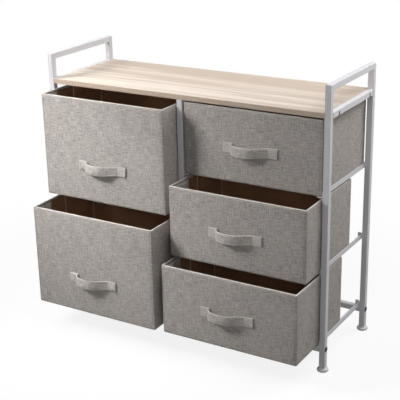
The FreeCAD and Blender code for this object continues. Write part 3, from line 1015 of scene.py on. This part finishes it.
class DRESSER_OT_steel_frame(bpy.types.Operator):
    """Coat the welded frame, crossbars, board rails and runners, and add the weld beads"""
    bl_idname = "dresser.steel_frame"
    bl_label = "Steel frame"

    def execute(self, context):
        colours, sizes = context.scene.dresser_colours, context.scene.dresser_fixings
        coat = powder_coat("powder_coat", colours.coat)
        for node in nodes_named(
                "side_frame", "middle_frame", "crossbar_front", "crossbar_rear", "runner"):
            if "bolts" not in node and "nut_blocks" not in node:
                finish_node(node, coat)
        for node in nodes_named("board_rail"):
            low, high = node_box(node)
            x, z = (low.x + high.x) / 2, (low.z + high.z) / 2
            # each rail's hollow is painted dark as painted shade
            shaded_bore = (x, z, (high.x - low.x) / 2 - COAT_DEPTH)
            finish_node(node, powder_coat(node + "_coat", colours.coat, colours.shaded_bore, shaded_bore))
        points, edges = chained(weld_lines())
        beads = path_repeater().run("weld_beads", points, edges, {
            "Piece length": sizes.bead * 0.9, "Piece width": sizes.bead,
            "Pitch": sizes.bead * 0.42, "Material": coat})
        dress(beads, "frame", "frame_coat")
        return {"FINISHED"}


class DRESSER_OT_board(bpy.types.Operator):
    """Finish the wooden board"""
    bl_idname = "dresser.board"
    bl_label = "Board"

    def execute(self, context):
        colours = context.scene.dresser_colours
        wood = wood_board("board_wood", colours.wood, colours.wood_dark, colours.edge)
        finish_node("top_board", wood)
        return {"FINISHED"}


def socket_head(head, dome, shank, length_under, socket):
    """Domed head with a six-sided socket, its seat at the origin and its head along +Z."""
    radius, sixth = head / 2, math.pi / 3
    profile = [(shank * 0.4, -length_under), (shank / 2, -length_under + shank * 0.1),
               (shank / 2, 0), (radius * 0.97, 0), (radius, dome * 0.12)]
    for k in range(1, 7):
        a = math.pi / 2 * k / 7
        profile.append((radius * math.cos(a) ** 0.8, dome * (0.12 + 0.88 * math.sin(a))))

    def hexagon(angle):
        return socket / 2 / math.cos((angle + sixth / 2) % sixth - sixth / 2)

    return turned(profile + [(hexagon, dome), (hexagon, dome * 0.25)], 36)


class DRESSER_OT_fixings(bpy.types.Operator):
    """Make the frame bolts and board screws, and finish the nut blocks"""
    bl_idname = "dresser.fixings"
    bl_label = "Bolts and screws"

    def execute(self, context):
        colours, s = context.scene.dresser_colours, context.scene.dresser_fixings
        black = worn_metal("black_steel", colours.black, 0.6, 0.38)
        bolt = socket_head(s.bolt_head, s.bolt_dome, s.bolt_shank, s.bolt_length, BOLT_SOCKET)
        screw = socket_head(
            s.screw_head, s.screw_dome, s.screw_shank, s.screw_length, SCREW_SOCKET)
        for node, shape, head, dome in (
                ("crossbar_bolts", bolt, s.bolt_head, s.bolt_dome),
                ("board_screws", screw, s.screw_head, s.screw_dome),
                ("middle_frame_bolts", bolt, s.bolt_head, s.bolt_dome)):
            low, high = node_box(node)
            x, z = (low.x + high.x) / 2, (low.z + high.z) / 2
            sides = [(low.x + dome, z, (-1, 0, 0)), (high.x - dome, z, (1, 0, 0))]
            if node == "middle_frame_bolts":
                sides = [(x, low.z + dome, (0, 0, -1))]
            places, aims = [], []
            for x, z, aim in sides:
                for y in (low.y + head / 2, high.y - head / 2):
                    places.append((x, y, z))
                    aims.append(aim)
            made = copies_on_points(node.replace("_", "-"), shape, places, aims, black)
            dress(made, "frame", "black_fixings", node)
        steel = worn_metal("zinc_plate", colours.steel, 1.0, 0.4)
        for node in ("crossbar_nut_blocks", "middle_frame_nut_blocks"):
            finish_node(node, steel)
        return {"FINISHED"}


def glide(radius, high, plug):
    """Round foot with a ribbed plug for the end of a post, standing on the floor."""
    rim = high * 0.39
    profile = [(radius - rim, 0), (radius - rim * 0.62, rim * 0.08)]
    for k in range(1, 9):
        a = math.pi * (-0.36 + 0.86 * k / 8)
        profile.append((radius - rim + rim * math.cos(a), rim + rim * math.sin(a)))
    profile += [(radius - rim - 1.2 * MM, high * 0.80), (9 * MM, high * 0.97), (6 * MM, high)]
    core, rib, ribs = 4.6 * MM, 6.1 * MM, 5
    for k in range(ribs):
        z = high + plug * (k + 0.4) / ribs
        profile += [(core, z), (rib, z + 0.5 * MM), (rib, z + 1.2 * MM), (core, z + 1.6 * MM)]
    return turned(profile + [(core - 0.4 * MM, high + plug)], 40)


class DRESSER_OT_feet(bpy.types.Operator):
    """Make the four round glides with their ribbed plugs"""
    bl_idname = "dresser.feet"
    bl_label = "Feet"

    def execute(self, context):
        s = context.scene.dresser_fixings
        plastic = moulded_plastic("glide_plastic", context.scene.dresser_colours.foot)
        radius = s.foot / 2
        low, high = node_box("feet")
        places = [(x, y, 0) for x in (low.x + radius, high.x - radius)
                  for y in (low.y + radius, high.y - radius)]
        shape = glide(radius, s.foot_height, s.plug)
        feet = copies_on_points("glides", shape, places, [(0, 0, 1)] * 4, plastic)
        dress(feet, "frame", "foot_plastic", "feet")
        return {"FINISHED"}


class DRESSER_OT_covers(bpy.types.Operator):
    """Make the cloth cover of each drawer and its facing inside"""
    bl_idname = "dresser.covers"
    bl_label = "Drawer covers"

    def execute(self, context):
        colours = context.scene.dresser_colours
        cloth = woven_cloth("cover_cloth", colours.cloth, colours.cloth_dark, 0.9 * MM)
        for drawer in drawers(context.scene):
            dress(drawer.cover(cloth), drawer.body, "cover_cloth", drawer.body + "_cover")
            dress(drawer.facing(cloth), drawer.body, "cover_cloth")
        return {"FINISHED"}


class DRESSER_OT_linings(bpy.types.Operator):
    """Make the lining of each drawer, and finish its boards"""
    bl_idname = "dresser.linings"
    bl_label = "Drawer linings"

    def execute(self, context):
        colours = context.scene.dresser_colours
        dark = bonded_cloth("lining_cloth", colours.lining)
        tape = bonded_cloth("seam_tape", colours.tape)
        card = pressed_card("stiffener_card", colours.card)
        wrapped = pressed_card("wrapped_board", colours.lining)
        for drawer in drawers(context.scene):
            body = drawer.body
            dress(drawer.lining(dark), body, "lining_cloth", body + "_lining")
            dress(drawer.lining_tapes(tape), body, "lining_cloth")
            finish_node(body + "_end_stiffeners", card)
            finish_node(body + "_side_stiffeners", card)
            finish_node(body + "_base_board", wrapped)
        return {"FINISHED"}


class DRESSER_OT_handles(bpy.types.Operator):
    """Make the strap handle of each drawer"""
    bl_idname = "dresser.handles"
    bl_label = "Strap handles"

    def execute(self, context):
        colours = context.scene.dresser_colours
        light, dark = shade(colours.cloth, 1.1), shade(colours.cloth_dark, 1.15)
        cloth = woven_cloth("strap_cloth", light, dark, 0.8 * MM)
        for drawer in drawers(context.scene):
            strap = Strap(drawer, context.scene.dresser_straps)
            dress(strap.webbing(cloth), drawer.body, "webbing", drawer.body + "_handle_strap")
        return {"FINISHED"}


class DRESSER_OT_stitching(bpy.types.Operator):
    """Sew the rims and the strap handles"""
    bl_idname = "dresser.stitching"
    bl_label = "Stitching"

    def execute(self, context):
        scene, sizes = context.scene, context.scene.dresser_stitches
        thread = sewing_thread("sewing_thread", scene.dresser_colours.thread)
        tree = path_repeater()
        for drawer in drawers(scene):
            strap = Strap(drawer, scene.dresser_straps)
            points, edges = chained([(drawer.rim_path(), True)] + strap.stitch_paths())
            stitches = tree.run(drawer.body + "_stitches", points, edges, {
                "Piece length": sizes.stitch, "Piece width": sizes.thread,
                "Pitch": sizes.pitch, "Material": thread})
            dress(stitches, drawer.body, "cover_cloth")
        return {"FINISHED"}


# ---------------------------------------------------------------- stage
CAMERA_PLACE = Vector((1.2829, -2.0882, 1.2548))
CAMERA_YAW, CAMERA_PITCH, CAMERA_ROLL = 31.26, 20.02, -1.2
CAMERA_LENS, CAMERA_SENSOR = 91.2, 36
FLOOR_HALF = 6
MIDDLE, LEFT_COLUMN = Vector((0, -0.05, 0.36)), Vector((-0.2, -0.15, 0.36))
LAMPS = {   # place, aim, width, height, and spread in degrees of each soft light
    "key": ((-1.01, -0.96, 1.32), LEFT_COLUMN, 0.4, 0.4, 40),
    "wide_key": ((-1.15, -1.01, 1.16), MIDDLE, 0.5, 0.5, 180),
    "high_key": ((-0.95, -0.49, 1.33), MIDDLE, 0.45, 0.45, 180),
    "overhead": ((-0.8, 0.3, 2.2), MIDDLE, 1.2, 1.2, 180),
    "side_fill": ((0.9, -0.13, 1.92), MIDDLE, 1.0, 1.0, 180),
    "rear_fill": ((1.25, 1.0, 1.51), MIDDLE, 1.2, 1.2, 180),
    "front_fill": ((1.33, -1.63, 1.11), MIDDLE, 0.8, 0.5, 180),
}


def aimed_light(name, watts):
    place, aim, width, height, spread_degrees = LAMPS[name]
    lamp = bpy.data.lights.new(name, "AREA")
    lamp.shape, lamp.size, lamp.size_y, lamp.energy = "RECTANGLE", width, height, watts
    lamp.spread = math.radians(spread_degrees)
    light = bpy.data.objects.new(name, lamp)
    light.location = place
    light.rotation_euler = (aim - Vector(place)).to_track_quat("-Z", "Y").to_euler()
    bpy.context.scene.collection.objects.link(light)


def floor_finish(shade_strength):
    """Pale matt floor that is seen as white and keeps a light shadow near the object."""
    finish = Finish("pale_floor")
    seen = finish.seen_white()
    reach = finish.node(
        "ShaderNodeVectorMath", {"operation": "LENGTH"}, {0: finish.objects()}, out="Value")
    white = 1 - (1 - finish.smooth_step(reach, 0.5, 1.3)) * shade_strength
    tint = finish.mix(seen, (0.25, 0.25, 0.25), (0.95, 0.95, 0.95))
    matt = finish.node("ShaderNodeBsdfDiffuse", None, {"Color": tint})
    glow = finish.node("ShaderNodeEmission", None, {"Color": (1, 1, 1), "Strength": 1.0})
    return finish.surface(
        finish.node("ShaderNodeMixShader", None, {0: seen * white, 1: matt, 2: glow}))


def even_world(level):
    """White as a background, and an even light of a low level on the object."""
    world = bpy.data.worlds.new("even_light")
    world.use_nodes = True
    tree = Tree(world.node_tree)
    even, white = (
        tree.node("ShaderNodeBackground", None, {"Color": (1, 1, 1), "Strength": strength})
        for strength in (level, 1.0))
    blend = tree.node("ShaderNodeMixShader", None, {0: tree.seen_white(), 1: even, 2: white})
    tree.node("ShaderNodeOutputWorld", None, {"Surface": blend})
    bpy.context.scene.world = world


class DRESSER_OT_stage(bpy.types.Operator):
    """Add the floor, the even light, the lamps and the camera"""
    bl_idname = "dresser.stage"
    bl_label = "Stage"

    def execute(self, context):
        scene, s = context.scene, context.scene.dresser_stage
        corners = [(x * FLOOR_HALF, y * FLOOR_HALF, 0)
                   for x, y in ((-1, -1), (1, -1), (1, 1), (-1, 1))]
        make_object("floor", corners, [(0, 1, 2, 3)], floor_finish(s.floor_shade))
        even_world(s.ambient)
        for name in LAMPS:
            aimed_light(name, getattr(s, name))
        lens = bpy.data.cameras.new("camera")
        lens.sensor_width, lens.lens = CAMERA_SENSOR, CAMERA_LENS
        camera = bpy.data.objects.new("camera", lens)
        turn = (Matrix.Rotation(math.radians(CAMERA_YAW), 4, "Z")
                @ Matrix.Rotation(math.radians(90 - CAMERA_PITCH), 4, "X")
                @ Matrix.Rotation(math.radians(CAMERA_ROLL), 4, "Z"))
        camera.matrix_world = Matrix.Translation(CAMERA_PLACE) @ turn
        scene.collection.objects.link(camera)
        scene.camera = camera
        scene.view_settings.view_transform = "Standard"
        return {"FINISHED"}


# ---------------------------------------------------------------- panel and registration
class DRESSER_PT_panel(bpy.types.Panel):
    """List the operators and all that can be set"""
    bl_idname = "DRESSER_PT_panel"
    bl_label = "Fabric drawer dresser"
    bl_space_type = "VIEW_3D"
    bl_region_type = "UI"
    bl_category = "Dresser"

    def draw(self, context):
        for operator in OPERATORS:
            self.layout.operator(operator.bl_idname)
        for group in GROUPS:
            settings = getattr(context.scene, group)
            box = self.layout.box()
            for field in settings.bl_rna.properties:
                if field.identifier not in ("rna_type", "name"):
                    box.prop(settings, field.identifier)


GROUPS = {
    "dresser_drawers": DrawerSizes, "dresser_straps": StrapSizes,
    "dresser_stitches": StitchSizes, "dresser_fixings": FixingSizes,
    "dresser_colours": Colours, "dresser_stage": StageSettings,
}
OPERATORS = [
    DRESSER_OT_steel_frame, DRESSER_OT_board, DRESSER_OT_fixings, DRESSER_OT_feet,
    DRESSER_OT_covers, DRESSER_OT_linings, DRESSER_OT_handles, DRESSER_OT_stitching,
    DRESSER_OT_stage,
]


def register():
    for name, group in GROUPS.items():
        bpy.utils.register_class(group)
        setattr(bpy.types.Scene, name, bpy.props.PointerProperty(type=group))
    for made in [*OPERATORS, DRESSER_PT_panel]:
        bpy.utils.register_class(made)


def unregister():
    for made in reversed([*OPERATORS, DRESSER_PT_panel]):
        bpy.utils.unregister_class(made)
    for name, group in reversed(GROUPS.items()):
        delattr(bpy.types.Scene, name)
        bpy.utils.unregister_class(group)


def main():
    register()
    for operator in OPERATORS:
        group, name = operator.bl_idname.split(".")
        getattr(getattr(bpy.ops, group), name)()
    bpy.context.view_layer.update()


if __name__ == "__main__":
    main()
